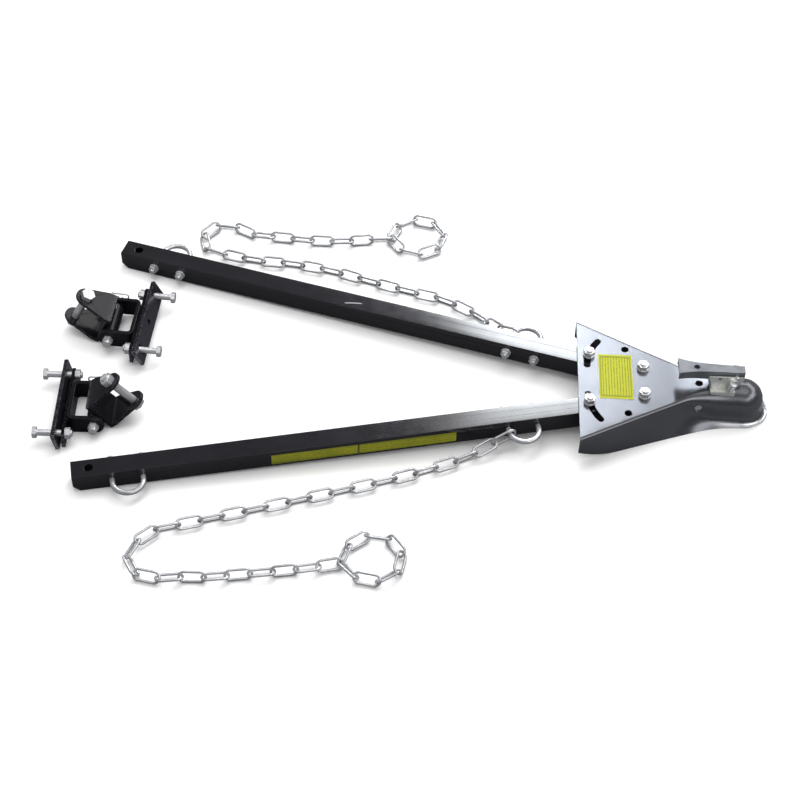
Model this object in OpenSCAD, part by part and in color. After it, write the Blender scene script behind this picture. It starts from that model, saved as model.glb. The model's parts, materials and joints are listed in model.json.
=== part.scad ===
// Adjustable A-frame tow bar: ball coupler, two swinging arms, two safety chains
// and two loose bumper brackets, laid out on a level floor.
// +X points to the coupler's nose, +Z up, and the origin is on the floor below the ball's centre.
// "far" pieces are on the +Y side, "near" pieces on the -Y side.

/* [Coupler] */
// Length from the ball's centre back to the open rear edge
coupler_rear = 258; // [250:1:266]
// Half width of the top plate at the rear edge
rear_half = 126; // [120:1:132]
// Thickness of the pressed steel
skin = 3.2; // [2.8:0.1:4]
// Height of the flat top plate above the floor
plate_top = 52.3; // [52:0.1:54]
// Outside radius of the dome over the ball
dome_r = 30.5; // [30:0.1:32]
// Radius of the socket that holds a 50.8 mm ball
socket_r = 25.8; // [25.6:0.1:26]

/* [Arms] */
// Outside size of the square tube
tube = 31.75; // [30:0.25:32]
// Wall of the square tube
tube_wall = 3; // [2:0.5:4]
// Length from the pivot bolt to the rear end
arm_len = 874.8; // [850:1:900]
// Half the distance between the two pivot bolts
pivot_y = 28.5; // [27:0.5:30]
// Angle of the far arm off the centre line
far_angle = 16.07; // [14:0.01:20]
// Angle of the near arm off the centre line
near_angle = 11.92; // [10:0.01:14]
// Radius of the hole for the bracket bolt at the rear end
end_hole_r = 6.7; // [6.5:0.1:7.5]

/* [Chains] */
// Radius of the chain wire
wire_r = 2; // [1.8:0.1:2]
// Distance from one link to the next
pitch = 33; // [32.5:0.1:33.5]
// Outside width of a link
link_w = 20; // [20:0.5:21]

/* [Brackets] */
// Distance between the two clamp bolts
clamp_span = 120; // [116:1:124]
// Distance from the pivot pin to the yoke's bolt
yoke_len = 56; // [54:1:60]
// Rise of the yoke of the far bracket
far_yoke_rise = 27; // [27:1:35]
// Rise of the yoke of the near bracket
near_yoke_rise = 40; // [38:1:50]

/* [Hidden] */
$fn = 48;
cut = 1;                       // how far a cutting tool runs past a face
steel = "silver";
zinc = "gainsboro";
paint = [0.08, 0.08, 0.09];
grey = [0.55, 0.58, 0.62];

pivot_x = -157;                // the pivot bolts' place along the centre line
slot_r = 86.6;                 // slot bolt's distance from the pivot bolt
slot_half = 5.4;               // half the width of the curved slots
slot_from = 1;                 // slot ends, degrees off the centre line
slot_to = 37.5;
bolt_r = 5;                    // M10 pivot and slot bolts
run_gap = 0.05;                // radial clearance of a turning fit
free_gap = 0.3;                // radial clearance of a loose hole
m10_flat = 16;
m10_head = 6.4;
m10_nut = 8;
m10_washer_r = 9.5;
washer_t = 1.5;
tube_front = 22;               // tube length ahead of the pivot bolt
arm_gap = 0.5;                 // gap between the plate and the tubes over the pivot bolts
tube_mid = plate_top - skin - arm_gap - tube / 2;
arm_drop = asin((tube_mid - tube / 2) / arm_len);
end_hole_in = 26;              // rear hole's distance from the rear end
end_bevel = 10;
u_bolt_wire = 4;               // radius of the U-bolt's wire
u_bolt_ring = 23;              // its bend radius at the wire's centre
u_bolt_front = 192;            // its places along the arm, from the pivot bolt
u_bolt_rear = 792.9;
u_bolt_out = 6;                // straight leg left between the tube and the bend
u_bolt_leg = 12;               // leg past the inner face of the tube
m8_flat = 13;
m8_nut = 6.5;
m8_washer_r = 8;
slack = 1.6;                   // play where two links meet

// ---------- fasteners ----------

module hex(flat, h) {
  cylinder(d = flat / cos(30), h = h, $fn = 6);
}

// Nut standing on z = 0
module hex_nut(flat, h, hole_r) {
  difference() {
    hex(flat, h);
    translate([0, 0, -cut]) cylinder(r = hole_r, h = h + 2 * cut);
  }
}

module washer(r, t, hole_r) {
  difference() {
    cylinder(r = r, h = t);
    translate([0, 0, -cut]) cylinder(r = hole_r, h = t + 2 * cut);
  }
}

// Bolt with the underside of its head on z = 0 and its shank upwards
module hex_bolt(r, len, flat, head) {
  translate([0, 0, -head]) hex(flat, head);
  cylinder(r = r, h = len);
}

// Puts something on both sides of the centre plane
module both_sides() {
  children();
  mirror([0, 1, 0]) children();
}

// ---------- coupler ----------

function smooth(t) = let (u = min(max(t, 0), 1)) u * u * (3 - 2 * u);
function soft_max(a, b, k) = (a + b + sqrt((a - b) * (a - b) + k * k)) / 2;

neck_x = -95;                  // the taper's reference station and its half width there
neck_half = 36;
lip_half = 41;                 // half width of the flared lip beside the ball
edge_r = 7;                    // bend radius along the plate's edges
flange_rise_x = -195;          // behind this the flange's lower edge rises
flange_rise = 20;
round_from = -112;             // the flat top turns into the dome between these
round_to = -26;

function dome_part(x) = smooth((x - round_from) / (round_to - round_from));
function top_half(x) =
  soft_max(neck_half + (rear_half - neck_half) * (neck_x - x) / (coupler_rear + neck_x), dome_r - 0.3, 8);
function low_half(x) = soft_max(49 - 0.384 * (x + 66), lip_half - 1, 9);
function top_z(x) = plate_top + dome_part(x) * (dome_z + dome_r - plate_top);
function low_z(x) =
  x > flange_rise_x ? 0 : flange_rise * pow((flange_rise_x - x) / (coupler_rear + flange_rise_x), 2);
function bend_r(x) = edge_r + (top_half(x) - crown_flat - edge_r) * dome_part(x);
dome_z = 25;                   // height of the ball's centre
crown_flat = 0.5;              // half the width of the strip left flat along the dome's crown
lip_curve = 4;                 // how sharply the lip flares beside the ball

bend_steps = 6;
side_steps = 6;
skin_steps = 26;

// Half of a cross-section from the crown down to the lower edge, set in by t
function half_section(x, t) =
  let (w = top_half(x), r = bend_r(x), z = top_z(x), curve = 1 + (lip_curve - 1) * dome_part(x))
  concat(
    [for (i = [0 : bend_steps]) let (a = 90 * i / bend_steps)
      [w - r + (r - t) * sin(a), z - r + (r - t) * cos(a)]],
    [for (i = [1 : side_steps]) let (u = i / side_steps)
      [w - t + (low_half(x) - w) * pow(u, curve), (z - r) * (1 - u) + low_z(x) * u]]);

function flip(points) = [for (i = [len(points) - 1 : -1 : 0]) points[i]];
function other_side(points) = [for (p = points) [-p[0], p[1]]];

// Closed outline of the bent sheet at one station
function sheet_section(x) =
  concat(flip(other_side(half_section(x, 0))), half_section(x, 0),
         flip(half_section(x, skin)), other_side(half_section(x, skin)));

// Sheet metal swept from the rear edge to the ball's centre
module swept_skin() {
  n = 4 * (bend_steps + side_steps + 1);
  points = [for (k = [0 : skin_steps]) let (x = -coupler_rear * (1 - k / skin_steps))
    for (p = sheet_section(x)) [x, p[0], p[1]]];
  sides = [for (k = [0 : skin_steps - 1]) for (i = [0 : n - 1]) let (j = (i + 1) % n)
    for (f = [[k * n + i, k * n + j, (k + 1) * n + i], [k * n + j, (k + 1) * n + j, (k + 1) * n + i]]) f];
  rear = [for (i = [0 : n / 2 - 2]) let (o = n - 1 - i) for (f = [[i, o, i + 1], [i + 1, o, o - 1]]) f];
  front = [for (f = rear) [skin_steps * n + f[0], skin_steps * n + f[2], skin_steps * n + f[1]]];
  polyhedron(points, concat(sides, rear, front));
}

// The nose is the same section turned about the ball's axis
module nose() {
  profile = concat([[0, top_z(0)]], half_section(0, 0), flip(half_section(0, skin)), [[0, top_z(0) - skin]]);
  rotate([0, 0, -90]) rotate_extrude(angle = 180, $fn = 64) polygon(profile);
}

// Bright rolled bead along the lip of the nose
module lip_bead() {
  bead = 1.7;
  rotate([0, 0, -90])
    rotate_extrude(angle = 180, $fn = 64) translate([low_half(0) - skin / 2, bead]) circle(r = bead);
}

module slot_cut(side) {
  z0 = plate_top - skin - cut;
  mirror([0, side < 0 ? 1 : 0, 0]) translate([pivot_x, pivot_y, z0]) {
    rotate([0, 0, 180 - slot_to]) rotate_extrude(angle = slot_to - slot_from)
      translate([slot_r - slot_half, 0]) square([2 * slot_half, skin + 2 * cut]);
    for (a = [slot_from, slot_to])
      rotate([0, 0, 180 - a]) translate([slot_r, 0, 0]) cylinder(r = slot_half, h = skin + 2 * cut);
  }
}

spare_hole = [-183.5, 66.5];
spare_hole_r = 6;
top_hole_x = -72;
clamp_pin_x = -72.6;
clamp_pin_z = 32;
clamp_pin_r = 6;
clamp_bolt_x = -52;
clamp_bolt_r = 4;

module coupler_shell() {
  color(grey) difference() {
    union() {
      swept_skin();
      nose();
      lip_bead();
    }
    for (side = [-1, 1]) slot_cut(side);
    for (y = [-pivot_y, pivot_y])
      translate([pivot_x, y, plate_top - 2 * skin]) cylinder(r = bolt_r + free_gap, h = 3 * skin);
    for (y = [-spare_hole[1], spare_hole[1]])
      translate([spare_hole[0], y, plate_top - 2 * skin]) cylinder(r = spare_hole_r, h = 3 * skin);
    translate([top_hole_x, 0, plate_top - 2 * skin]) cylinder(r = spare_hole_r, h = 3 * skin);
    translate([clamp_bolt_x, 0, plate_top - 2 * skin])
      cylinder(r = clamp_bolt_r + free_gap, h = 5 * skin);
    translate([clamp_pin_x, 60, clamp_pin_z]) rotate([90, 0, 0])
      cylinder(r = clamp_pin_r + free_gap, h = 120);
  }
}

label_from = [-226, -38];
label_size = [52, 92];
label_t = 0.4;

module coupler_label() {
  color("yellow") translate([label_from[0], label_from[1], plate_top])
    cube([label_size[0], label_size[1], label_t]);
}

// Bolts, washers and nuts on which the arms turn
module pivot_bolts() {
  z0 = tube_mid - tube / 2 - 0.6;
  color(zinc) for (y = [-pivot_y, pivot_y])
    translate([pivot_x, y, z0]) hex_bolt(bolt_r, plate_top + washer_t + m10_nut + 3 - z0, m10_flat, m10_head);
}

module pivot_washers() {
  color(zinc) for (y = [-pivot_y, pivot_y])
    translate([pivot_x, y, plate_top]) washer(m10_washer_r, washer_t, bolt_r + run_gap);
}

module pivot_nuts() {
  color(zinc) for (y = [-pivot_y, pivot_y])
    translate([pivot_x, y, plate_top + washer_t]) hex_nut(m10_flat, m10_nut, bolt_r + run_gap);
}

// ---------- latch ----------

latch_z = 80;                  // the lever's pivot pin
latch_x = -18;
latch_pin_r = 3;
latch_t = 2.5;                 // sheet of the latch bracket
saddle_z = 55.8;               // underside of its saddle, just above the dome
saddle_rear = -57;
saddle_front = -19;
saddle_half = 21;
ear_y = 9.5;                   // inside face of its ears
spring_at = [-27, -17.5];
spring_lean = 15;
spring_r = 4.2;
spring_wire = 1.1;
spring_h = 14;
stud_r = 2.8;
lock_x = -44;
lock_r = 2.5;

// Saddle with lips that follow the dome, and two ears that carry the lever
module latch_bracket() {
  ear = [[saddle_rear + 4, 0], [saddle_front, 0], [saddle_front + 7, 13], [-7, 22], [-9, 26.5],
         [saddle_rear - 2, 26.5], [saddle_rear - 4, 24], [saddle_rear, 14]];
  lip = [[saddle_rear + 3, 52.3], [saddle_rear + 19, 50.6], [saddle_front, 50.1],
         [saddle_front, saddle_z + latch_t], [saddle_rear, saddle_z + latch_t], [saddle_rear, 53.5]];
  color([0.8, 0.82, 0.62]) difference() {
    union() {
      translate([saddle_rear, -saddle_half, saddle_z])
        cube([saddle_front - saddle_rear, 2 * saddle_half, latch_t]);
      both_sides() {
        translate([0, saddle_half, 0]) rotate([90, 0, 0]) linear_extrude(latch_t) polygon(lip);
        translate([0, ear_y + latch_t, saddle_z]) rotate([90, 0, 0]) linear_extrude(latch_t) polygon(ear);
      }
    }
    translate([latch_x, 20, latch_z]) rotate([90, 0, 0]) cylinder(r = latch_pin_r + run_gap, h = 40);
    lock_hole();
    translate([clamp_bolt_x, 0, saddle_z - cut]) cylinder(r = clamp_bolt_r + run_gap, h = 6);
  }
}

// Hole through the ears and the lever for a padlock or a lock pin
module lock_hole() {
  translate([lock_x, 20, latch_z - 2]) rotate([90, 0, 0]) cylinder(r = lock_r, h = 40);
}

module latch_pin() {
  reach = ear_y + latch_t + 0.5;
  color(zinc) translate([latch_x, reach, latch_z]) rotate([90, 0, 0]) {
    cylinder(r = latch_pin_r, h = 2 * reach);
    translate([0, 0, -2]) cylinder(r = 4.4, h = 2);
    translate([0, 0, 2 * reach]) cylinder(r = 4.4, h = 2);
  }
}

module at_spring() {
  translate([spring_at[0], spring_at[1], saddle_z + latch_t + 1.5]) rotate([0, spring_lean, 0]) children();
}

// Stud with the cap that holds the spring down
module latch_stud() {
  color(zinc) at_spring() {
    cylinder(r = stud_r, h = spring_h + 1);
    translate([0, 0, spring_h]) cylinder(r = spring_r + spring_wire, h = 1);
  }
}

// Coil drawn as separate turns, one above the next
module latch_spring() {
  turns = 5;
  lead = (spring_h - 2 * spring_wire - 0.1) / (turns - 1);
  color(zinc) at_spring() for (i = [0 : turns - 1])
    translate([0, 0, spring_wire + i * lead])
      rotate_extrude() translate([spring_r, 0]) circle(r = spring_wire, $fn = 16);
}

// Draw bolt between the latch and the ball clamp
module clamp_bolt() {
  z0 = 16;
  color(zinc) translate([clamp_bolt_x, 0, 0]) {
    translate([0, 0, z0]) cylinder(r = clamp_bolt_r, h = saddle_z + latch_t + 6 - z0);
    translate([0, 0, saddle_z + latch_t]) hex(11, 4);
    translate([0, 0, z0 - 5]) hex(m8_flat, 5);
  }
}

module clamp_pin() {
  color(steel) translate([clamp_pin_x, 31, clamp_pin_z]) rotate([90, 0, 0]) cylinder(r = clamp_pin_r, h = 62);
}

// Half widths of the lever from its splayed tail to its nose
lever_edge = [[-108, 16.2], [-96, 12.5], [-82, 10], [-64, 8.6], [-40, 7.8], [-6, 7.3]];
lever_wall = 2;

function lever_outline(inset) =
  concat([for (p = lever_edge) [p[0], p[1] - inset]], [for (p = flip(lever_edge)) [p[0], inset - p[1]]]);

module latch_lever() {
  tail = lever_edge[0][0];
  front = lever_edge[len(lever_edge) - 1][0];
  top = 9;                     // top of the lever above its pivot
  side = [[tail, -1], [-82, -4], [-64, -6], [-30, -6], [-10, -5], [front, -1], [front, top], [tail, top + 3]];
  color(steel) translate([0, 0, latch_z]) difference() {
    intersection() {
      translate([0, 0, -10]) linear_extrude(30) polygon(lever_outline(0));
      translate([0, 30, 0]) rotate([90, 0, 0]) linear_extrude(60) polygon(side);
    }
    translate([0, 0, -10]) linear_extrude(10 + top - lever_wall) polygon(lever_outline(lever_wall));
    translate([tail - cut, -lever_edge[0][1] + lever_wall, -10])
      cube([2 * cut, 2 * (lever_edge[0][1] - lever_wall), 10 + top - lever_wall]);
    translate([latch_x, 20, 0]) rotate([90, 0, 0]) cylinder(r = latch_pin_r + run_gap, h = 40);
    translate([0, 0, -latch_z]) lock_hole();
    translate([tail + 28, 0, 0]) cylinder(r = 4.5, h = 20);
  }
}

// Curved tongue that closes on the back of the ball
module ball_clamp() {
  jaw_t = 4;
  jaw_h = 18;
  jaw_low = 7;
  tail_w = 14;
  boss_r = 9;
  color(steel) difference() {
    union() {
      translate([0, 0, jaw_low]) rotate([0, 0, 180 - 30]) rotate_extrude(angle = 60)
        translate([socket_r + 0.6, 0]) square([jaw_t, jaw_h]);
      translate([clamp_pin_x, -tail_w, clamp_pin_z - boss_r])
        cube([-socket_r - jaw_t - clamp_pin_x, 2 * tail_w, 5]);
      translate([clamp_pin_x, tail_w, clamp_pin_z]) rotate([90, 0, 0]) cylinder(r = boss_r, h = 2 * tail_w);
    }
    translate([clamp_pin_x, 20, clamp_pin_z]) rotate([90, 0, 0]) cylinder(r = clamp_pin_r + run_gap, h = 40);
    translate([clamp_bolt_x, 0, 10]) cylinder(r = clamp_bolt_r + 3, h = 30);
  }
}

// ---------- arms ----------

// Puts something drawn beside the far arm onto either arm.
// In the arm's own frame the pivot bolt is at the origin, -X runs to the rear and +Y is outboard.
module on_arm(side) {
  angle = side > 0 ? far_angle : near_angle;
  mirror([0, side < 0 ? 1 : 0, 0])
    translate([pivot_x, pivot_y, 0]) rotate([0, 0, -angle]) children();
}

function tube_z(along) = tube_mid - along * sin(arm_drop);

module tube_shape() {
  half = tube / 2;
  side = [[tube_front, -half], [tube_front, half], [-arm_len, half], [-arm_len, end_bevel - half],
          [end_bevel - arm_len, -half]];
  difference() {
    translate([0, half, 0]) rotate([90, 0, 0]) linear_extrude(tube) polygon(side);
    translate([tube_wall + end_bevel - arm_len, tube_wall - half, tube_wall - half])
      cube([arm_len + tube_front, tube - 2 * tube_wall, tube - 2 * tube_wall]);
  }
}

module arm_tube(side) {
  on_arm(side) color(paint) difference() {
    translate([0, 0, tube_mid]) rotate([0, -arm_drop, 0]) tube_shape();
    cylinder(r = bolt_r + run_gap, h = 100);
    translate([-slot_r, 0, 0]) cylinder(r = bolt_r + run_gap, h = 100);
    translate([end_hole_in - arm_len, 0, -cut]) cylinder(r = end_hole_r, h = 60);
    for (along = [u_bolt_front, u_bolt_rear], leg = [-u_bolt_ring, u_bolt_ring])
      translate([-along + leg, tube, tube_z(along)]) rotate([90, 0, 0])
        cylinder(r = u_bolt_wire + free_gap, h = 2 * tube);
  }
}

module far_arm_tube() { arm_tube(1); }
module near_arm_tube() { arm_tube(-1); }

slot_bolt_gap = 0.6;           // play under the slot bolt's head

module slot_bolt(side) {
  z0 = tube_z(slot_r) - tube / 2 - slot_bolt_gap;
  on_arm(side) color(zinc) translate([-slot_r, 0, z0])
    hex_bolt(bolt_r, plate_top + washer_t + m10_nut + 3 - z0, m10_flat, m10_head);
}

module slot_washer(side) {
  on_arm(side) color(zinc) translate([-slot_r, 0, plate_top + run_gap])
    washer(m10_washer_r, washer_t, bolt_r + run_gap);
}

module slot_nut(side) {
  on_arm(side) color(zinc) translate([-slot_r, 0, plate_top + run_gap + washer_t])
    hex_nut(m10_flat, m10_nut, bolt_r + run_gap);
}

module far_slot_bolt() { slot_bolt(1); }
module far_slot_washer() { slot_washer(1); }
module far_slot_nut() { slot_nut(1); }
module near_slot_bolt() { slot_bolt(-1); }
module near_slot_washer() { slot_washer(-1); }
module near_slot_nut() { slot_nut(-1); }

// Two threaded legs joined by a half ring that stands outboard of the tube
module u_bolt() {
  bend_y = tube / 2 + u_bolt_out;
  translate([0, bend_y, 0]) rotate_extrude(angle = 180) translate([u_bolt_ring, 0]) circle(r = u_bolt_wire);
  for (leg = [-u_bolt_ring, u_bolt_ring])
    translate([leg, bend_y, 0]) rotate([90, 0, 0]) cylinder(r = u_bolt_wire, h = bend_y + tube / 2 + u_bolt_leg);
}

module at_u_bolts(side) {
  on_arm(side) for (along = [u_bolt_front, u_bolt_rear]) translate([-along, 0, tube_z(along)]) children();
}

module at_u_bolt_legs(side, out) {
  at_u_bolts(side) for (leg = [-u_bolt_ring, u_bolt_ring])
    translate([leg, -tube / 2 - out, 0]) rotate([90, 0, 0]) children();
}

module u_bolt_washers(side) {
  color(zinc) at_u_bolt_legs(side, 0.1) washer(m8_washer_r, washer_t, u_bolt_wire + run_gap);
}

module u_bolt_nuts(side) {
  color(zinc) at_u_bolt_legs(side, 0.1 + washer_t) hex_nut(m8_flat, m8_nut, u_bolt_wire + run_gap);
}

module far_u_bolts() { color(zinc) at_u_bolts(1) u_bolt(); }
module near_u_bolts() { color(zinc) at_u_bolts(-1) u_bolt(); }
module far_u_bolt_washers() { u_bolt_washers(1); }
module near_u_bolt_washers() { u_bolt_washers(-1); }
module far_u_bolt_nuts() { u_bolt_nuts(1); }
module near_u_bolt_nuts() { u_bolt_nuts(-1); }

arm_label_from = 578;          // the strip's ends along the arm, and its height on the tube's side
arm_label_to = 296;
arm_label_h = 20;
arm_label_low = -1.5;

module near_arm_label() {
  on_arm(-1) color("olive") translate([0, 0, tube_mid]) rotate([0, -arm_drop, 0])
    translate([-arm_label_from, tube / 2, arm_label_low - arm_label_h / 2])
      cube([arm_label_from - arm_label_to, label_t, arm_label_h]);
}

// ---------- chains ----------

// One long link lying along X with its middle at the origin
module chain_link() {
  bend = link_w / 2 - wire_r;
  straight = pitch / 2 + wire_r + slack / 2 - bend;
  for (end = [0, 180])
    rotate([0, 0, end]) translate([straight, 0, 0]) rotate([0, 0, -90])
      rotate_extrude(angle = 180) translate([bend, 0]) circle(r = wire_r, $fn = 20);
  for (y = [-bend, bend])
    translate([-straight, y, 0]) rotate([0, 90, 0]) cylinder(r = wire_r, h = 2 * straight, $fn = 20);
}

// A run is [number of links, turn after each link in degrees]
function run_turns(runs) = [for (run = runs) for (k = [1 : run[0]]) run[1]];
function sum_to(values, i) = i < 0 ? 0 : values[i] + sum_to(values, i - 1);

loop_half = [60, 24, -21, -66.2];
loop_turns = concat(loop_half, [for (i = [3 : -1 : 0]) -180 - loop_half[i]]);
hang = [31, 21, 12.5];         // heights where the first links hang off the U-bolt
lie_z = 9.9;                   // height of a link's middle when the chain lies on the floor
lean = 20;                     // how far the links lean from flat and from upright on a straight run
bend_lean = 45;                // and in a sharp bend, where they have to clear each other
sharp_turn = 30;

// Headings of the links: the run out along the floor, then the closed loop at its end
function headings(start, runs) =
  let (turns = run_turns(runs), last = start + sum_to(turns, len(turns) - 2))
  concat([for (i = [0 : len(turns) - 1]) start + sum_to(turns, i - 1)], [for (a = loop_turns) last + a]);

function lean_at(turns, i) =
  let (before = i == 0 ? 0 : abs(turns[i - 1]), after = i < len(turns) - 1 ? abs(turns[i]) : 180)
  max(before, after) > sharp_turn ? bend_lean : lean;
function node_z(i) = i < len(hang) ? hang[i] : lie_z;
function step(heading, i) =
  let (dz = node_z(i + 1) - node_z(i), flat = sqrt(pitch * pitch - dz * dz))
  [flat * cos(heading), flat * sin(heading), dz];
function joint_at(from, way, i) = i == 0 ? from : joint_at(from, way, i - 1) + step(way[i - 1], i - 1);

// The chain starts where its heading leaves the U-bolt's half ring
function u_bolt_point(side, heading) =
  let (angle = side > 0 ? far_angle : near_angle, out = tube / 2 + u_bolt_out,
       reach = u_bolt_ring - u_bolt_wire - slack / 2)
  [pivot_x - u_bolt_front * cos(angle) + out * sin(angle) + reach * cos(heading),
   side * (pivot_y + u_bolt_front * sin(angle) + out * cos(angle)) + reach * sin(heading), hang[0]];

loop_slack = 0.7;              // the loop is drawn back a little into the link that holds it

module chain(side, start, runs, from, to) {
  way = headings(start, runs);
  turns = run_turns(runs);
  stem = len(turns);
  color(zinc) for (i = [from : to]) {
    back = i < stem ? 0 : loop_slack;
    at = joint_at(u_bolt_point(side, start), way, i) - back * [cos(way[stem - 1]), sin(way[stem - 1]), 0];
    go = step(way[i], i);
    roll = (i % 2 == 0 ? 90 : 0) - min(i * 15, i < stem ? lean_at(turns, i) : bend_lean);
    translate(at + go / 2) rotate([0, 0, way[i]]) rotate([0, -asin(go[2] / pitch), 0]) rotate([roll, 0, 0])
      chain_link();
  }
}

far_start = 147.7;
far_runs = [[1, -17.5], [4, 8.8], [4, -1], [4, 3.9], [3, -5.5], [3, -55], [1, -23], [1, 22],
            [2, 0.5], [3, 4.8], [2, -2]];
near_start = -155.5;
near_runs = [[1, 5], [5, -2], [10, -0.2], [2, 26], [2, 50], [1, 19], [1, -7], [1, 7], [3, 0.5], [3, 2]];

module far_chain(from, to) { chain(1, far_start, far_runs, from, to); }
module near_chain(from, to) { chain(-1, near_start, near_runs, from, to); }

module far_chain_1() { far_chain(0, 7); }
module far_chain_2() { far_chain(8, 15); }
module far_chain_3() { far_chain(16, 20); }
module far_chain_4() { far_chain(21, 27); }
module far_chain_loop() { far_chain(28, 35); }
module near_chain_1() { near_chain(0, 8); }
module near_chain_2() { near_chain(9, 16); }
module near_chain_3() { near_chain(17, 21); }
module near_chain_4() { near_chain(22, 28); }
module near_chain_loop() { near_chain(29, 36); }

// ---------- bumper brackets ----------
// In a bracket's own frame the pivot pin lies along Y through the origin, the clamp bolts point to +X
// and the yoke hangs out to -X.

pin_r = 6.35;
channel_half = 39;             // half width of the bent channel that holds the pin
channel_x = 40;                // outside face of its web
channel_t = 6;
channel_bend = 10;
ear_r = 16;                    // half the channel's height and the round of its ears
plate_t = 5;                   // toothed plate welded to the channel
plate_half = 70;
plate_h = 26;
clamp_z = 5;                   // height of the clamp bolts above the pin
clamp_r = 5;
bolt_seat = 83;                // underside of the clamp bolts' heads
jaw_t = 6;
jaw_h = 31;
jaw_half = 80;
tooth = 4;                     // pitch of the biting teeth
tooth_h = 2;

// Bent channel seen from above
module channel_plan() {
  out = channel_bend;
  in = channel_bend - channel_t;
  x = channel_x - channel_bend;
  y = channel_half - channel_bend;
  difference() {
    union() {
      translate([-ear_r - cut, -channel_half]) square([x + ear_r + cut, 2 * channel_half]);
      translate([x - cut, -y]) square([out + cut, 2 * y]);
      for (side = [-1, 1]) translate([x, side * y]) circle(r = out);
    }
    translate([-ear_r - 2 * cut, -y - in]) square([x + ear_r + 2 * cut, 2 * (y + in)]);
    translate([x - cut, -y]) square([in + cut, 2 * y]);
    for (side = [-1, 1]) translate([x, side * y]) circle(r = in);
  }
}

// Row of teeth standing on z = 0 along Y, cut through a plate of thickness t
module teeth(half, t) {
  count = floor(2 * half / tooth);
  rotate([90, 0, 90]) linear_extrude(t) for (i = [0 : count - 1])
    translate([i * tooth - half, 0]) polygon([[0, -cut], [tooth, -cut], [tooth, 0], [tooth / 2, tooth_h], [0, 0]]);
}

module clamp_holes(x, length, extra) {
  for (y = [-clamp_span / 2, clamp_span / 2])
    translate([x, y, clamp_z]) rotate([0, 90, 0]) cylinder(r = clamp_r + extra, h = length);
}

module clevis() {
  color(paint) difference() {
    intersection() {
      translate([0, 0, -ear_r]) linear_extrude(2 * ear_r) channel_plan();
      rotate([90, 0, 0]) translate([0, 0, -channel_half - cut]) linear_extrude(2 * channel_half + 2 * cut) {
        circle(r = ear_r);
        translate([0, -ear_r]) square([channel_x, 2 * ear_r]);
      }
    }
    translate([0, channel_half + cut, 0]) rotate([90, 0, 0])
      cylinder(r = pin_r + run_gap, h = 2 * channel_half + 2 * cut);
  }
}

// Toothed plate on the channel's back
module clamp_plate() {
  color(paint) difference() {
    translate([channel_x, 0, 0]) {
      translate([0, -plate_half, -ear_r]) cube([plate_t, 2 * plate_half, plate_h]);
      translate([0, 0, plate_h - ear_r]) teeth(plate_half, plate_t);
    }
    clamp_holes(channel_x - cut, plate_t + 2 * cut, free_gap);
  }
}

// Loose toothed bar that leans on the clamp bolts; its bolt holes are slots
module jaw(at, lean) {
  slot = 3.4;
  color(paint) translate([at, 0, clamp_z]) rotate([0, lean, 0]) difference() {
    union() {
      translate([-jaw_t / 2, -jaw_half, -jaw_h / 2]) cube([jaw_t, 2 * jaw_half, jaw_h - tooth_h]);
      translate([-jaw_t / 2, 0, jaw_h / 2 - tooth_h]) teeth(jaw_half, jaw_t);
    }
    for (y = [-clamp_span / 2, clamp_span / 2]) {
      for (z = [-slot, slot])
        translate([-jaw_t, y, z]) rotate([0, 90, 0]) cylinder(r = clamp_r + 0.8, h = 2 * jaw_t);
      translate([-jaw_t, y - clamp_r - 0.8, -slot]) cube([2 * jaw_t, 2 * clamp_r + 1.6, 2 * slot]);
    }
    translate([-jaw_t, 0, 0]) rotate([0, 90, 0]) cylinder(r = 4.5, h = 2 * jaw_t);
  }
}

module clamp_bolts() {
  tail = bolt_seat - channel_x + m10_nut + 3;
  color(zinc) for (y = [-clamp_span / 2, clamp_span / 2])
    translate([bolt_seat, y, clamp_z]) rotate([0, -90, 0]) hex_bolt(clamp_r, tail, m10_flat, m10_head);
}

module clamp_nuts() {
  color(zinc) for (y = [-clamp_span / 2, clamp_span / 2])
    translate([channel_x - 0.1, y, clamp_z]) rotate([0, -90, 0]) hex_nut(m10_flat, m10_nut, clamp_r + run_gap);
}

pin_nut_flat = 15;
pin_nut_h = 7;
pin_out = 13;                  // how far the pin stands out of each ear

// Puts something drawn at the pin's -Y end on the end that faces the near side
module pin_side(side) {
  mirror([0, side < 0 ? 1 : 0, 0]) children();
}

module pivot_pin() {
  color(zinc) translate([0, -channel_half - pin_out, 0]) rotate([-90, 0, 0])
    cylinder(r = pin_r, h = 2 * (channel_half + pin_out));
}

module pin_nut(side) {
  color(zinc) pin_side(side) translate([0, -channel_half - 0.2, 0]) rotate([90, 0, 0])
    hex_nut(pin_nut_flat, pin_nut_h, pin_r + run_gap);
}

// Spring clip: a stem beside the pin, a bow over it and a curled end
module pin_clip(side) {
  wire = 1.2;
  lift = pin_r + wire + 0.2;
  bow = 5;
  color(steel) pin_side(side) translate([0, channel_half + 6, lift]) {
    translate([-14, 0, 0]) rotate([0, 90, 0]) cylinder(r = wire, h = 26, $fn = 16);
    translate([12, 0, bow]) rotate([90, 0, 0]) rotate([0, 0, -90]) rotate_extrude(angle = 180)
      translate([bow, 0]) circle(r = wire, $fn = 16);
    translate([-6, 0, 2 * bow]) rotate([0, 90, 0]) cylinder(r = wire, h = 18, $fn = 16);
    translate([-6, 0, 2 * bow + 3]) rotate([90, 0, 0]) rotate([0, 0, 180]) rotate_extrude(angle = 90)
      translate([3, 0]) circle(r = wire, $fn = 16);
  }
}

yoke_t = 5.5;
yoke_half = 28;                // half the yoke's outside height
yoke_root = 29;                // half its width beside the pin
yoke_web = 9;                  // the yoke's web starts this far from the pin
yoke_ear_r = 17;
yoke_bolt_r = 6.35;
yoke_bolt_flat = 19;
yoke_head = 8;
yoke_nut_h = 10;
barrel_r = 12;

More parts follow.
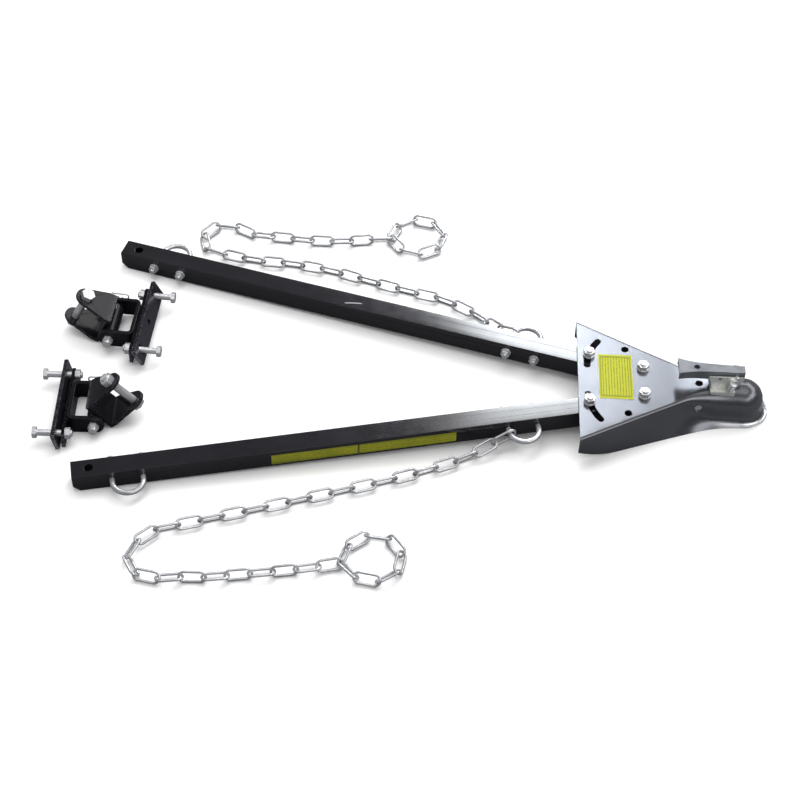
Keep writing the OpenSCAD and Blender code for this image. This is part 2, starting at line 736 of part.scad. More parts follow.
// The yoke in its own frame: -X runs from the pin to the bolt
module yoke_shape() {
  straight = yoke_web + 12;
  ear = concat([[-yoke_web, -yoke_root], [-yoke_web, yoke_root], [-straight, yoke_root]],
    [for (a = [110 : 10 : 250]) [yoke_ear_r * cos(a) - yoke_len, yoke_ear_r * sin(a)]],
    [[-straight, -yoke_root]]);
  difference() {
    union() {
      for (z = [-yoke_half, yoke_half - yoke_t]) translate([0, 0, z]) linear_extrude(yoke_t) polygon(ear);
      translate([-yoke_web - yoke_t, -yoke_root, -yoke_half]) cube([yoke_t, 2 * yoke_root, 2 * yoke_half]);
      translate([0, yoke_root, 0]) rotate([90, 0, 0]) cylinder(r = barrel_r, h = 2 * yoke_root);
    }
    translate([0, yoke_root + cut, 0]) rotate([90, 0, 0])
      cylinder(r = pin_r + run_gap, h = 2 * yoke_root + 2 * cut);
    translate([-yoke_len, 0, -yoke_half - cut])
      cylinder(r = yoke_bolt_r + free_gap, h = 2 * yoke_half + 2 * cut);
  }
}

module yoke(rise) {
  color(paint) rotate([0, rise, 0]) yoke_shape();
}

// The head sits on the upper ear of the far yoke and under the lower ear of the near one
module in_yoke(rise, side) {
  rotate([0, rise, 0]) mirror([0, 0, side < 0 ? 1 : 0]) translate([-yoke_len, 0, 0]) children();
}

module yoke_bolt(rise, side) {
  color(zinc) in_yoke(rise, side) translate([0, 0, yoke_half + 0.1]) rotate([180, 0, 0])
    hex_bolt(yoke_bolt_r, 2 * yoke_half + yoke_nut_h + 4, yoke_bolt_flat, yoke_head);
}

module yoke_nut(rise, side) {
  color(zinc) in_yoke(rise, side) translate([0, 0, -yoke_half - yoke_nut_h - 0.2])
    hex_nut(yoke_bolt_flat, yoke_nut_h, yoke_bolt_r + run_gap);
}

// Places of the two brackets on the floor; the near one faces the other way
far_bracket_at = [-995, 109, 21.1];
far_bracket_turn = -4;
near_bracket_at = [-996, -69, 16.2];
near_bracket_turn = 181;
far_jaw_at = 56;
far_jaw_lean = -26;
near_jaw_at = 53;
near_jaw_lean = 11;

module at_far() { translate(far_bracket_at) rotate([0, 0, far_bracket_turn]) children(); }
module at_near() { translate(near_bracket_at) rotate([0, 0, near_bracket_turn]) children(); }

module far_clevis() { at_far() clevis(); }
module far_clamp_plate() { at_far() clamp_plate(); }
module far_jaw() { at_far() jaw(far_jaw_at, far_jaw_lean); }
module far_clamp_bolts() { at_far() clamp_bolts(); }
module far_clamp_nuts() { at_far() clamp_nuts(); }
module far_pivot_pin() { at_far() pivot_pin(); }
module far_pin_nut() { at_far() pin_nut(1); }
module far_pin_clip() { at_far() pin_clip(1); }
module far_yoke() { at_far() yoke(far_yoke_rise); }
module far_yoke_bolt() { at_far() yoke_bolt(far_yoke_rise, 1); }
module far_yoke_nut() { at_far() yoke_nut(far_yoke_rise, 1); }
module near_clevis() { at_near() clevis(); }
module near_clamp_plate() { at_near() clamp_plate(); }
module near_jaw() { at_near() jaw(near_jaw_at, near_jaw_lean); }
module near_clamp_bolts() { at_near() clamp_bolts(); }
module near_clamp_nuts() { at_near() clamp_nuts(); }
module near_pivot_pin() { at_near() pivot_pin(); }
module near_pin_nut() { at_near() pin_nut(-1); }
module near_pin_clip() { at_near() pin_clip(-1); }
module near_yoke() { at_near() yoke(near_yoke_rise); }
module near_yoke_bolt() { at_near() yoke_bolt(near_yoke_rise, -1); }
module near_yoke_nut() { at_near() yoke_nut(near_yoke_rise, -1); }

coupler_shell();
coupler_label();
pivot_bolts();
pivot_washers();
pivot_nuts();
latch_bracket();
latch_pin();
latch_stud();
latch_spring();
clamp_bolt();
clamp_pin();
latch_lever();
ball_clamp();
far_arm_tube();
far_slot_bolt();
far_slot_washer();
far_slot_nut();
far_u_bolts();
far_u_bolt_washers();
far_u_bolt_nuts();
near_arm_tube();
near_slot_bolt();
near_slot_washer();
near_slot_nut();
near_u_bolts();
near_u_bolt_washers();
near_u_bolt_nuts();
near_arm_label();
far_chain_1();
far_chain_2();
far_chain_3();
far_chain_4();
far_chain_loop();
near_chain_1();
near_chain_2();
near_chain_3();
near_chain_4();
near_chain_loop();
far_clevis();
far_clamp_plate();
far_jaw();
far_clamp_bolts();
far_clamp_nuts();
far_pivot_pin();
far_pin_nut();
far_pin_clip();
far_yoke();
far_yoke_bolt();
far_yoke_nut();
near_clevis();
near_clamp_plate();
near_jaw();
near_clamp_bolts();
near_clamp_nuts();
near_pivot_pin();
near_pin_nut();
near_pin_clip();
near_yoke();
near_yoke_bolt();
near_yoke_nut();
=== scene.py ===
"""Looks for an adjustable A-frame tow bar: materials, threads, welds, studio and camera.

Metres, in the CAD frame: +X to the coupler's nose, +Y to the far side, +Z up.
"""

import json
import math

import bpy
from mathutils import Matrix, Vector


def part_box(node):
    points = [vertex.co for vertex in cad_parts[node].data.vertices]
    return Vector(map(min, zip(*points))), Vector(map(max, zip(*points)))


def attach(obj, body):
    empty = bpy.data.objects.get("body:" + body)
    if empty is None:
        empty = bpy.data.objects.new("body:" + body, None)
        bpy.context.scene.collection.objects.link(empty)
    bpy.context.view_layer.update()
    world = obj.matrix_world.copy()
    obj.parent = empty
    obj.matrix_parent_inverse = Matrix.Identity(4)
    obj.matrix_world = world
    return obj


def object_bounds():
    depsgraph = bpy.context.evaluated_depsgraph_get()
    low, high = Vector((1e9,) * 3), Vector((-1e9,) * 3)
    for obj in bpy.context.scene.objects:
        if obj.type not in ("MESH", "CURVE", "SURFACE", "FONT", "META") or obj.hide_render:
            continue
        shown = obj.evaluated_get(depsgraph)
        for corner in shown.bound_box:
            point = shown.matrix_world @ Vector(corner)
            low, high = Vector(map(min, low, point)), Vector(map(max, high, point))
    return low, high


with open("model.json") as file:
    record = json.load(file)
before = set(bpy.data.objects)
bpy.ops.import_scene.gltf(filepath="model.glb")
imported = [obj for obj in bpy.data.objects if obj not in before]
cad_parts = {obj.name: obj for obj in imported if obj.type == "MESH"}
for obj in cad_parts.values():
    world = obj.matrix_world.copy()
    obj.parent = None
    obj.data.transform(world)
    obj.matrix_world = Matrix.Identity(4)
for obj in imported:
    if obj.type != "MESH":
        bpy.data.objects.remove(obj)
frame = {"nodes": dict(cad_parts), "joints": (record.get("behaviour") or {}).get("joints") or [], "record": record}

CAD_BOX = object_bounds()
JOINTS = {joint["name"]: joint for joint in frame["joints"]}
MOUNTS = {mount["name"]: mount for mount in frame["record"]["mounts"]}
BODY_OF = {node: body for body, nodes in frame["record"]["behaviour"]["bodies"].items() for node in nodes}
UP = Vector((0, 0, 1))
MM = 0.001


# ---------- node helpers ----------


def add(tree, kind, **inputs):
    """Adds a shader node; an input is a value or another node's output."""
    made = tree.nodes.new(kind)
    for name, value in inputs.items():
        socket = made.inputs[name.replace("_", " ")]
        if isinstance(value, bpy.types.NodeSocket):
            tree.links.new(value, socket)
        else:
            socket.default_value = value
    return made


def calc(tree, operation, a, b=0.0, clamp=False):
    made = tree.nodes.new("ShaderNodeMath")
    made.operation = operation
    made.use_clamp = clamp
    for socket, value in zip(made.inputs, (a, b)):
        if isinstance(value, bpy.types.NodeSocket):
            tree.links.new(value, socket)
        else:
            socket.default_value = value
    return made.outputs[0]


def ramp(tree, value, low, high, to_low=0.0, to_high=1.0):
    """Smooth step from to_low to to_high as value goes from low to high."""
    made = tree.nodes.new("ShaderNodeMapRange")
    made.interpolation_type = "SMOOTHSTEP"
    tree.links.new(value, made.inputs["Value"])
    for name, number in (("From Min", low), ("From Max", high), ("To Min", to_low), ("To Max", to_high)):
        made.inputs[name].default_value = number
    return made.outputs["Result"]


def mix(tree, factor, first, second):
    made = tree.nodes.new("ShaderNodeMix")
    made.data_type = "RGBA"
    sockets = [s for s in made.inputs if s.type == "RGBA"]
    for socket, value in ((made.inputs[0], factor), (sockets[0], first), (sockets[1], second)):
        if isinstance(value, bpy.types.NodeSocket):
            tree.links.new(value, socket)
        else:
            socket.default_value = value
    return [s for s in made.outputs if s.type == "RGBA"][0]


def rgb(r, g, b):
    return (r, g, b, 1)


def place(tree):
    return add(tree, "ShaderNodeTexCoord").outputs["Object"]


def stretched(tree, scale):
    return add(tree, "ShaderNodeMapping", Vector=place(tree), Scale=scale).outputs[0]


def noise(tree, scale, detail=3.0, vector=None):
    source = place(tree) if vector is None else vector
    return add(tree, "ShaderNodeTexNoise", Vector=source, Scale=scale, Detail=detail).outputs["Fac"]


def edge_wear(tree):
    """1 on sharp outside edges, broken up by noise."""
    sharp = ramp(tree, add(tree, "ShaderNodeNewGeometry").outputs["Pointiness"], 0.53, 0.6)
    return calc(tree, "MULTIPLY", sharp, ramp(tree, noise(tree, 220), 0.35, 0.6))


def new_material(name):
    made = bpy.data.materials.new(name)
    made.use_nodes = True
    tree = made.node_tree
    return made, tree, tree.nodes["Principled BSDF"]


def bump(tree, shader, height, distance, strength=0.5):
    made = add(tree, "ShaderNodeBump", Height=height, Distance=distance, Strength=strength)
    tree.links.new(made.outputs[0], shader.inputs["Normal"])


def link(tree, shader, **inputs):
    for name, value in inputs.items():
        socket = shader.inputs[name.replace("_", " ")]
        if isinstance(value, bpy.types.NodeSocket):
            tree.links.new(value, socket)
        else:
            socket.default_value = value


# ---------- materials ----------


def powder_coat(name, shade, gloss, wear, shine=0.3, scratch=None):
    """Black coat with orange peel, dust, and bare metal where an edge has rubbed.

    scratch is (place, length, width) of a pale rubbed line along the X axis.
    """
    made, tree, shader = new_material(name)
    dust = ramp(tree, noise(tree, 14, 5), 0.45, 0.75)
    worn = calc(tree, "MULTIPLY", edge_wear(tree), wear)
    clean = rgb(shade, shade * 0.9, shade * 1.3)
    colour = mix(tree, calc(tree, "MULTIPLY", dust, 0.25), clean, rgb(0.022, 0.02, 0.028))
    colour = mix(tree, worn, colour, rgb(0.55, 0.56, 0.6))
    if scratch:
        colour = mix(tree, scratch_mask(tree, *scratch), colour, rgb(0.6, 0.6, 0.64))
    peel = noise(tree, 420, 2)
    rough = calc(tree, "ADD", calc(tree, "MULTIPLY", noise(tree, 55, 4), 0.12), gloss - 0.06)
    link(tree, shader, Base_Color=colour, Roughness=rough, Metallic=calc(tree, "MULTIPLY", worn, 0.7))
    link(tree, shader, Coat_Weight=shine, Coat_Roughness=gloss * 0.6, Specular_IOR_Level=0.2 + 0.6 * shine)
    bump(tree, shader, peel, 0.00012, 0.12)
    return made


def scratch_mask(tree, at, length, width):
    split = add(tree, "ShaderNodeSeparateXYZ", Vector=place(tree))
    along = calc(tree, "ABSOLUTE", calc(tree, "SUBTRACT", split.outputs["X"], at.x))
    across = calc(tree, "SUBTRACT", split.outputs["Y"], at.y)
    wander = calc(tree, "MULTIPLY", calc(tree, "SUBTRACT", noise(tree, 60), 0.5), 3 * width)
    across = calc(tree, "ABSOLUTE", calc(tree, "ADD", across, wander))
    top = ramp(tree, split.outputs["Z"], at.z - 3 * MM, at.z - 1 * MM)
    inside = calc(tree, "MULTIPLY", ramp(tree, along, length / 2, length / 2 - 4 * MM), top)
    return calc(tree, "MULTIPLY", inside, ramp(tree, across, width, width * 0.4))


def satin_coat():
    """Silver-grey coat of the coupler: fine metal flake, with a painted highlight along the flared rim round the
    nose.
    """
    made, tree, shader = new_material("silver_grey_coat")
    flake = noise(tree, 1500, 2)
    cloud = noise(tree, 9, 4)
    tone = calc(tree, "ADD", calc(tree, "MULTIPLY", flake, 0.35), calc(tree, "MULTIPLY", cloud, 0.65))
    colour = mix(tree, ramp(tree, tone, 0.3, 0.7), rgb(0.165, 0.17, 0.187), rgb(0.215, 0.221, 0.242))
    # Painted highlight: the low flared rim towards the nose gets a near-white colour in place of the bright
    # reflection it shows.
    split = add(tree, "ShaderNodeSeparateXYZ", Vector=place(tree))
    low_down = ramp(tree, split.outputs["Z"], 5.5 * MM, 3.5 * MM)
    painted_lip_highlight = calc(tree, "MULTIPLY", low_down, ramp(tree, split.outputs["X"], -50 * MM, -20 * MM))
    colour = mix(tree, painted_lip_highlight, colour, rgb(0.72, 0.73, 0.76))
    rough = calc(tree, "ADD", calc(tree, "MULTIPLY", noise(tree, 40, 4), 0.06), 0.21)
    link(tree, shader, Base_Color=colour, Roughness=rough, Metallic=0.8)
    bump(tree, shader, flake, 0.00008, 0.25)
    return made


def plated(name, tone, rough, tint=None, streak=(1, 1, 1), dent=0.06):
    """Bright plate: cloudy tone, fine brushing and, with a tint, patches of chromate colour."""
    made, tree, shader = new_material(name)
    lines = noise(tree, 260, 3, stretched(tree, streak))
    cloud = noise(tree, 35, 4)
    dark = rgb(*[0.72 * c for c in tone])
    colour = mix(tree, ramp(tree, cloud, 0.3, 0.65), dark, rgb(*tone))
    if tint:
        colour = mix(tree, ramp(tree, noise(tree, 55, 3), 0.42, 0.6, 0.0, 0.4), colour, rgb(*tint))
    colour = mix(tree, ramp(tree, noise(tree, 130, 5), 0.62, 0.75, 0.0, 0.18), colour, rgb(0.2, 0.19, 0.18))
    spread = calc(tree, "ADD", calc(tree, "MULTIPLY", lines, 0.22), rough - 0.1)
    link(tree, shader, Base_Color=colour, Metallic=0.68, Roughness=spread)
    bump(tree, shader, lines, dent * MM, 0.35)
    return made


def local_share(tree, origin, along, across, length, height):
    """Position over a label as two shares from 0 to 1."""
    offset = tree.nodes.new("ShaderNodeVectorMath")
    offset.operation = "SUBTRACT"
    tree.links.new(place(tree), offset.inputs[0])
    offset.inputs[1].default_value = origin
    shares = []
    for axis, size in ((along, length), (across, height)):
        dot = tree.nodes.new("ShaderNodeVectorMath")
        dot.operation = "DOT_PRODUCT"
        tree.links.new(offset.outputs[0], dot.inputs[0])
        dot.inputs[1].default_value = axis
        shares.append(calc(tree, "DIVIDE", dot.outputs["Value"], size))
    return shares


def within(tree, value, low, high):
    above = calc(tree, "GREATER_THAN", value, low)
    below = calc(tree, "LESS_THAN", value, high)
    return calc(tree, "MULTIPLY", above, below)


def within_box(tree, u, v, edge_u, edge_v):
    """1 where both shares keep clear of the film's edges."""
    return calc(tree, "MULTIPLY", within(tree, u, edge_u, 1 - edge_u), within(tree, v, edge_v, 1 - edge_v))


def printed_film(tree, shader, ground, ink, u, v, lines, border, frame_line):
    """Film with broken rules in place of print: rules run along v, spaced over u."""
    phase = calc(tree, "FRACT", calc(tree, "MULTIPLY", u, lines))
    rule = within(tree, phase, 0.3, 0.68)
    broken = ramp(tree, noise(tree, 700, 2), 0.42, 0.5)
    inside = within_box(tree, u, v, border, border * 0.8)
    print_mask = calc(tree, "MULTIPLY", calc(tree, "MULTIPLY", rule, broken), inside)
    outer = within_box(tree, u, v, frame_line, frame_line)
    inner = within_box(tree, u, v, 2.2 * frame_line, 2.2 * frame_line)
    box_line = calc(tree, "SUBTRACT", outer, inner, True)
    faint_line = calc(tree, "MULTIPLY", box_line, 0.5)
    marks = calc(tree, "MAXIMUM", calc(tree, "MULTIPLY", print_mask, 0.75), faint_line)
    worn_ground = rgb(*[0.86 * c for c in ground])
    faded = mix(tree, ramp(tree, noise(tree, 30, 3), 0.35, 0.7, 0.0, 0.35), rgb(*ground), worn_ground)
    colour = mix(tree, marks, faded, rgb(*ink))
    link(tree, shader, Base_Color=colour, Specular_IOR_Level=0.25)
    link(tree, shader, Roughness=ramp(tree, noise(tree, 90, 3), 0.3, 0.7, 0.38, 0.5))
    bump(tree, shader, noise(tree, 160, 2), 0.0001, 0.3)


def coupler_film():
    made, tree, shader = new_material("coupler_film")
    low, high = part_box("coupler_label")
    u, v = local_share(tree, low, Vector((1, 0, 0)), Vector((0, 1, 0)), high.x - low.x, high.y - low.y)
    printed_film(tree, shader, (0.45, 0.47, 0.03), (0.08, 0.09, 0.015), u, v, 12, 0.09, 0.035)
    return made


def arm_film():
    """Olive strip along the near arm, with a seam where its two lengths meet."""
    made, tree, shader = new_material("arm_film")
    low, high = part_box("near_arm_label")
    along = arm_direction("near")
    start = Vector((high.x, (low.y + high.y) / 2, low.z))
    length = (high.x - low.x) / abs(along.x)
    u, v = local_share(tree, start, along, UP, length, high.z - low.z)
    seam = within(tree, u, 0.505, 0.515)
    border = calc(tree, "SUBTRACT", 1.0, within(tree, v, 0.2, 0.8))
    rows = within(tree, calc(tree, "FRACT", calc(tree, "MULTIPLY", v, 6.0)), 0.3, 0.6)
    broken = ramp(tree, noise(tree, 420, 2), 0.45, 0.52)
    marks = calc(tree, "MULTIPLY", calc(tree, "MULTIPLY", rows, broken), 0.5)
    marks = calc(tree, "MAXIMUM", marks, calc(tree, "MULTIPLY", border, 0.3))
    marks = calc(tree, "MAXIMUM", marks, calc(tree, "MULTIPLY", seam, 0.85))
    faded = mix(tree, ramp(tree, noise(tree, 25, 3), 0.35, 0.7), rgb(0.5, 0.52, 0.03), rgb(0.4, 0.42, 0.024))
    link(tree, shader, Base_Color=mix(tree, marks, faded, rgb(0.06, 0.06, 0.02)))
    link(tree, shader, Roughness=ramp(tree, noise(tree, 90, 3), 0.3, 0.7, 0.28, 0.45))
    bump(tree, shader, noise(tree, 160, 2), 0.0001, 0.3)
    return made


def arm_direction(side):
    hinge = Vector(JOINTS[side + "_arm_hinge"]["pos_m"])
    hole = Vector(MOUNTS[side + "_arm_end_hole"]["pos_m"])
    return Vector((hole.x - hinge.x, hole.y - hinge.y, 0)).normalized()


def far_arm_scratch():
    """Rubbed line on top of the far arm, a little over half way along it."""
    hinge = Vector(JOINTS["far_arm_hinge"]["pos_m"])
    hole = Vector(MOUNTS["far_arm_end_hole"]["pos_m"])
    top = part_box("far_arm_tube")[1].z
    share = 0.56
    at = hinge.lerp(hole, share)
    drop = (hinge.z - hole.z) * share
    return Vector((at.x, at.y - 5 * MM, top - drop)), 30 * MM, 0.9 * MM


def make_materials():
    return {
        "coupler_grey": satin_coat(),
        "label_yellow": coupler_film(),
        "label_olive": arm_film(),
        "zinc": plated("bright_zinc", (0.9, 0.91, 0.94), 0.2, streak=(1, 1, 0.4), dent=1.2),
        "chain_zinc": plated("chain_zinc", (0.84, 0.85, 0.88), 0.2),
        "latch_zinc": plated("latch_zinc", (0.93, 0.94, 0.92), 0.3, (0.88, 0.91, 0.76), dent=0.3),
        "lever_steel": plated("lever_steel", (0.27, 0.28, 0.3), 0.46, streak=(0.15, 1, 1)),
        "pin_steel": plated("pin_steel", (0.92, 0.91, 0.87), 0.22),
        "tube_black": powder_coat("tube_coat", 0.007, 0.13, 0.0, 0.6, far_arm_scratch()),
        "bracket_black": powder_coat("bracket_coat", 0.006, 0.13, 0.35, 0.08),
        "jaw_black": powder_coat("jaw_coat", 0.016, 0.24, 0.9),
    }


SLOT_OF = {entry["node"]: entry["material_slot"] for entry in frame["record"]["subparts"]}
BEVELS = {"zinc": 0.5, "coupler_grey": 0.3, "lever_steel": 0.4, "latch_zinc": 0.4, "pin_steel": 0.3,
          "tube_black": 2.4, "bracket_black": 0.8, "jaw_black": 0.3}


def soften(obj, width):
    """Rounds the CAD solid's sharp edges so that they catch the light."""
    weld = obj.modifiers.new("weld", "WELD")
    weld.merge_threshold = 0.004 * MM
    if width:
        bevel = obj.modifiers.new("bevel", "BEVEL")
        bevel.width = width * MM
        bevel.segments = 2
        bevel.limit_method = "ANGLE"
        bevel.angle_limit = math.radians(38)
        bevel.harden_normals = False
        bevel.use_clamp_overlap = True
    normals = obj.modifiers.new("normals", "WEIGHTED_NORMAL")
    normals.keep_sharp = False


def clear_normals(obj):
    """Drops the imported split normals, which the modifiers can't follow."""
    with bpy.context.temp_override(object=obj, active_object=obj, selected_objects=[obj]):
        bpy.ops.mesh.customdata_custom_splitnormals_clear()
    obj.data.polygons.foreach_set("use_smooth", [True] * len(obj.data.polygons))


def dress_nodes(materials):
    for name, obj in frame["nodes"].items():
        slot = SLOT_OF[name]
        obj.data.materials.clear()
        obj.data.materials.append(materials[slot])
        clear_normals(obj)
        if slot not in ("chain_zinc", "label_yellow", "label_olive") and name != "latch_spring":
            soften(obj, BEVELS.get(slot, 0))
        else:
            soften(obj, 0)


# ---------- added pieces ----------


def mesh_piece(name, vertices, faces, material, body):
    mesh = bpy.data.meshes.new(name)
    mesh.from_pydata([tuple(v) for v in vertices], [], faces)
    mesh.validate()
    mesh.polygons.foreach_set("use_smooth", [True] * len(mesh.polygons))
    obj = bpy.data.objects.new(name, mesh)
    bpy.context.scene.collection.objects.link(obj)
    mesh.materials.append(material)
    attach(obj, body)
    return obj


def solids(node):
    """The CAD node's points, one list per separate solid."""
    mesh = frame["nodes"][node].data
    keys = {}
    ids = [keys.setdefault(tuple(round(c, 6) for c in v.co), len(keys)) for v in mesh.vertices]
    points = {}
    for vertex, key in zip(mesh.vertices, ids):
        points[key] = vertex.co.copy()
    parent = list(range(len(keys)))

    def root(i):
        while parent[i] != i:
            parent[i] = parent[parent[i]]
            i = parent[i]
        return i

    for polygon in mesh.polygons:
        first, *rest = [ids[v] for v in polygon.vertices]
        for other in rest:
            parent[root(other)] = root(first)
    groups = {}
    for key, point in points.items():
        groups.setdefault(root(key), []).append(point)
    return [groups[key] for key in sorted(groups)]


def shank_tips(points, axis, spread=None):
    """(centre, radius) of each round end that the solid reaches along axis."""
    far = max(p.dot(axis) for p in points)
    rim = [p for p in points if p.dot(axis) > far - 0.02 * MM]
    if spread is None:
        rims = [rim]
    else:
        middle = sum(p.dot(spread) for p in rim) / len(rim)
        rims = [[p for p in rim if p.dot(spread) < middle], [p for p in rim if p.dot(spread) >= middle]]
    tips = []
    for ring in rims:
        low = Vector([min(p[i] for p in ring) for i in range(3)])
        high = Vector([max(p[i] for p in ring) for i in range(3)])
        centre = (low + high) / 2
        radius = max((p - centre).length for p in ring)
        tips.append((centre, radius))
    return tips


def thread_points(base, axis, radius, length, pitch):
    """Points of a helical ridge, wound from base along axis, that fades in and out at its ends."""
    side = axis.orthogonal().normalized()
    other = axis.cross(side)
    around = 16
    count = max(2, int(length / pitch * around))
    depth = 0.32 * pitch
    vertices = []
    for i in range(count + 1):
        angle = 2 * math.pi * i / around
        fade = min(1, i / around, (count - i) / around)
        out = side * math.cos(angle) + other * math.sin(angle)
        centre = base + axis * (length * i / count)
        root = radius - 0.12 * MM
        vertices.append(centre + out * root - axis * (0.4 * pitch))
        vertices.append(centre + out * (radius + (depth - 0.12 * MM) * fade))
        vertices.append(centre + out * root + axis * (0.4 * pitch))
    return vertices, count


def thread_faces(count, first):
    faces = [(first, first + 1, first + 2), (first + 3 * count + 2, first + 3 * count + 1, first + 3 * count)]
    for i in range(count):
        a = first + 3 * i
        for j in range(3):
            k = (j + 1) % 3
            faces.append((a + j, a + 3 + j, a + 3 + k, a + k))
    return faces


def threads(name, node, axis, length, pitch, material, spread=None):
    """Winds a thread on each shank of a bolt node, from its tip back over length.

    spread is the direction between a solid's two shanks, where it has two.
    """
    vertices, faces = [], []
    for points in solids(node):
        for tip, radius in shank_tips(points, axis, spread):
            base = tip - axis * (length + 0.6 * pitch)
            more, count = thread_points(base, axis, radius, length, pitch)
            faces += thread_faces(count, len(vertices))
            vertices += more
    obj = mesh_piece(name, vertices, faces, material, BODY_OF[node])
    for polygon in obj.data.polygons:
        polygon.use_smooth = False
    return obj


def bracket_axes(side):
    """Frame of a bumper bracket: origin on the pin, X towards the clamp plate, Y along the pin."""
    hinge = JOINTS[side + "_yoke_hinge"]
    along = Vector(hinge["axis"]).normalized()
    return Vector(hinge["pos_m"]), along.cross(UP), along


def local_box(node, origin, axes):
    points = [v.co - origin for v in frame["nodes"][node].data.vertices]
    return [(min(p.dot(a) for p in points), max(p.dot(a) for p in points)) for a in axes]


def weld_bead(name, start, end, radius, material, body):
    """Bead of overlapping lumps from start to end."""
    run = end - start
    axis = run.normalized()
    side = axis.orthogonal().normalized()
    other = axis.cross(side)
    around = 12
    steps = max(8, int(run.length / (0.5 * MM)))
    ripple = 2.6 * MM
    vertices = []
    for i in range(steps + 1):
        share = i / steps
        swell = abs(math.sin(math.pi * share * run.length / ripple))
        wobble = 1 + 0.08 * math.sin(17 * share + 3 * radius / MM)
        taper = min(1, 0.25 + 6 * share, 0.25 + 6 * (1 - share))
        size = radius * (0.82 + 0.18 * swell) * wobble * taper
        for j in range(around):
            angle = 2 * math.pi * j / around
            out = side * math.cos(angle) + other * math.sin(angle)
            vertices.append(start + run * share + out * size)
    faces = [tuple(range(around))[::-1], tuple(range(steps * around, (steps + 1) * around))]
    for i in range(steps):
        for j in range(around):
            k = (j + 1) % around
            a = i * around
            faces.append((a + j, a + k, a + around + k, a + around + j))
    return mesh_piece(name, vertices, faces, material, body)


def bracket_welds(side, materials):
    """Beads where the bent channel meets the toothed plate."""
    origin, forward, along = bracket_axes(side)
    plate = local_box(side + "_clamp_plate", origin, (forward, along, UP))
    channel = local_box(side + "_clevis", origin, (forward, along, UP))
    bend = 8 * MM
    for end, sign in enumerate((-1, 1)):
        y = channel[1][end] - sign * bend
        foot = origin + forward * (plate[0][0] - 0.6 * MM) + along * y
        start = foot + UP * (plate[2][0] + 2 * MM)
        stop = foot + UP * (plate[2][1] - 4 * MM)
        name = "%s_weld_%d" % (side, end + 1)
        weld_bead(name, start, stop, 2.4 * MM, materials["bracket_black"], side + "_bracket")


def build_threads(materials):
    zinc = materials["zinc"]
    threads("pivot_threads", "pivot_bolts", UP, 2.4 * MM, 1.5 * MM, zinc)
    for side in ("far", "near"):
        arm = arm_direction(side)
        inward = UP.cross(arm) if side == "far" else arm.cross(UP)
        threads(side + "_slot_threads", side + "_slot_bolt", UP, 2.4 * MM, 1.5 * MM, zinc)
        threads(side + "_u_bolt_threads", side + "_u_bolts", inward, 3 * MM, 1.25 * MM, zinc, arm)
        forward = bracket_axes(side)[1]
        threads(side + "_clamp_threads", side + "_clamp_bolts", -forward, 11 * MM, 1.5 * MM, zinc)
        threads(side + "_yoke_threads", side + "_yoke_bolt", yoke_bolt_axis(side), 3 * MM, 1.8 * MM, zinc)


def middle_point(node):
    points = solids(node)[0]
    return sum(points, Vector()) / len(points)


def yoke_bolt_axis(side):
    """From the yoke bolt's head to its nut, square to the pin."""
    pin = bracket_axes(side)[2]
    towards = middle_point(side + "_yoke_nut") - middle_point(side + "_yoke_bolt")
    return (towards - pin * towards.dot(pin)).normalized()


# ---------- studio ----------


def room(tree, direction):
    """What shiny faces see: a dim room, a pale ceiling, and a bright window high on the far side.

    The window spans the directions in which the tops near the coupler reflect the camera's view;
    the pale side wall begins where the flared rim round the nose does.
    """
    split = add(tree, "ShaderNodeSeparateXYZ", Vector=direction)
    x, y, z = split.outputs["X"], split.outputs["Y"], split.outputs["Z"]
    sides = calc(tree, "MULTIPLY", ramp(tree, x, -0.015, 0.02), ramp(tree, x, 0.12, 0.068))
    heights = calc(tree, "MULTIPLY", ramp(tree, z, 0.45, 0.55), ramp(tree, z, 0.82, 0.68))
    window = calc(tree, "MULTIPLY", calc(tree, "MULTIPLY", sides, heights), ramp(tree, y, 0.1, 0.35))
    far_wall = ramp(tree, y, 0.2, 0.9, 0.0, 0.12)
    ceiling = ramp(tree, z, 0.87, 1.0, 0.0, 1.1)
    side_wall = calc(tree, "MULTIPLY", ramp(tree, x, 0.185, 0.22, 0.0, 2.2), heights)
    walls = calc(tree, "ADD", far_wall, side_wall)
    return window, calc(tree, "ADD", calc(tree, "ADD", ceiling, walls), 0.08)


WINDOW_POWER = 19


def make_world():
    """Soft light from above and the far side; mirror-like faces see the room instead."""
    world = bpy.data.worlds.new("studio")
    bpy.context.scene.world = world
    world.use_nodes = True
    tree = world.node_tree
    background = tree.nodes["Background"]
    direction = add(tree, "ShaderNodeTexCoord").outputs["Generated"]
    window, base = room(tree, direction)
    seen = calc(tree, "ADD", calc(tree, "MULTIPLY", window, WINDOW_POWER), base)
    split = add(tree, "ShaderNodeSeparateXYZ", Vector=direction)
    tilt = calc(tree, "ADD", split.outputs["Z"], calc(tree, "MULTIPLY", split.outputs["Y"], 0.35))
    soft = ramp(tree, tilt, -0.2, 0.9, 0.3, 1.05)
    path = add(tree, "ShaderNodeLightPath")
    plain = mix_value(tree, path.outputs["Is Camera Ray"], soft, 1.0)
    tree.links.new(mix_value(tree, path.outputs["Is Glossy Ray"], plain, seen), background.inputs["Strength"])
    tree.links.new(mix(tree, window, rgb(1, 1, 1), rgb(0.88, 0.94, 1.0)), background.inputs["Color"])


def mix_value(tree, factor, first, second):
    made = tree.nodes.new("ShaderNodeMix")
    for socket, value in zip(made.inputs[0:1] + made.inputs[2:4], (factor, first, second)):
        if isinstance(value, bpy.types.NodeSocket):
            tree.links.new(value, socket)
        else:
            socket.default_value = value
    return made.outputs[0]


def area_light(name, at, target, size, power):
    data = bpy.data.lights.new(name, "AREA")
    data.shape = "DISK"
    data.size = size
    data.energy = power
    obj = bpy.data.objects.new(name, data)
    bpy.context.scene.collection.objects.link(obj)
    obj.location = at
    obj.rotation_euler = (target - at).to_track_quat("-Z", "Y").to_euler()
    obj.visible_glossy = False


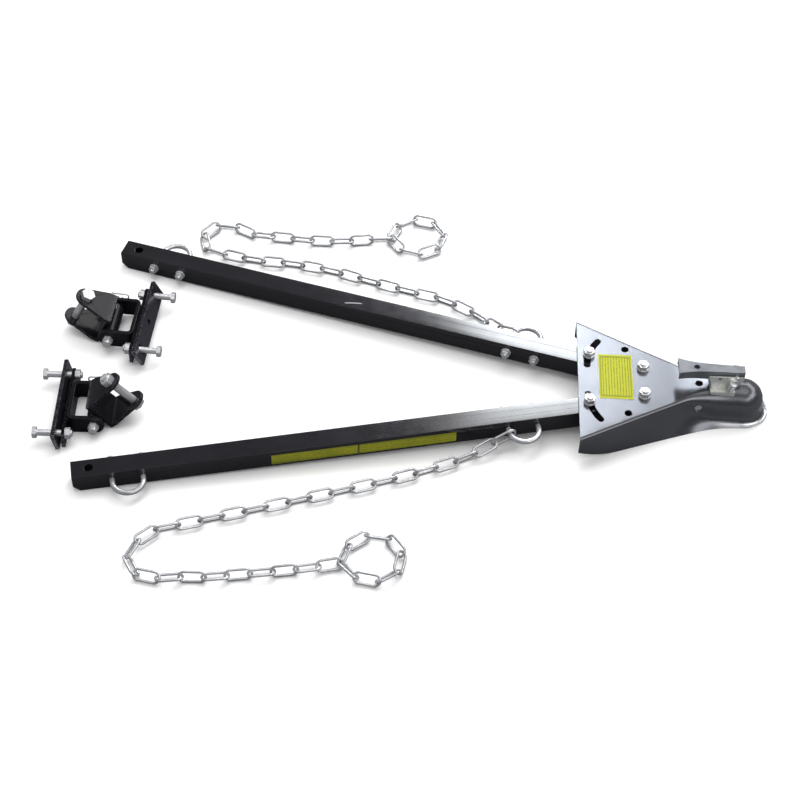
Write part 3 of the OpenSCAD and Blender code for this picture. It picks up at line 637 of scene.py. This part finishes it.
def make_floor(low, high):
    """Large pale sheet under the object with a paper grain; it throws little light back on the object."""
    centre = (low + high) / 2
    half = 6.0
    corners = [(centre.x + sx * half, centre.y + sy * half, low.z - 0.2 * MM)
               for sx, sy in ((-1, -1), (1, -1), (1, 1), (-1, 1))]
    mesh = bpy.data.meshes.new("floor")
    mesh.from_pydata(corners, [], [(0, 1, 2, 3)])
    obj = bpy.data.objects.new("floor", mesh)
    bpy.context.scene.collection.objects.link(obj)
    made, tree, shader = new_material("pale_sheet")
    grain = noise(tree, 300, 3)
    pale = mix(tree, grain, rgb(0.94, 0.94, 0.94), rgb(0.98, 0.98, 0.98))
    seen = add(tree, "ShaderNodeLightPath").outputs["Is Camera Ray"]
    link(tree, shader, Base_Color=mix(tree, seen, rgb(0.14, 0.14, 0.15), pale))
    link(tree, shader, Roughness=0.85, Specular_IOR_Level=0.1)
    mesh.materials.append(made)


def make_camera():
    """Camera above the near side, looking down at the floor, turned slightly about its own axis."""
    at = Vector((-0.5066, -1.9977, 2.2141))
    azimuth, elevation, roll = (math.radians(a) for a in (0.72, 48.13, 1.99))
    back = Vector((math.sin(azimuth) * math.cos(elevation), -math.cos(azimuth) * math.cos(elevation),
                   math.sin(elevation)))
    right = (-back).cross(UP).normalized()
    above = right.cross(-back)
    turned = right * math.cos(roll) + above * math.sin(roll)
    top = above * math.cos(roll) - right * math.sin(roll)
    data = bpy.data.cameras.new("camera")
    data.lens = 85.8
    data.sensor_width = 36
    obj = bpy.data.objects.new("camera", data)
    bpy.context.scene.collection.objects.link(obj)
    obj.matrix_world = Matrix.Translation(at) @ Matrix((turned, top, back)).transposed().to_4x4()
    bpy.context.scene.camera = obj


materials = make_materials()
dress_nodes(materials)
build_threads(materials)
for bracket in ("far", "near"):
    bracket_welds(bracket, materials)
make_world()
low_corner, high_corner = CAD_BOX
make_floor(low_corner, high_corner)
middle = (low_corner + high_corner) / 2
area_light("far_soft", middle + Vector((0.5, 1.6, 2.2)), middle, 1.6, 36)
area_light("high_soft", middle + Vector((-0.6, 0.5, 2.6)), middle, 1.8, 22)
make_camera()
bpy.context.scene.view_settings.view_transform = "Standard"
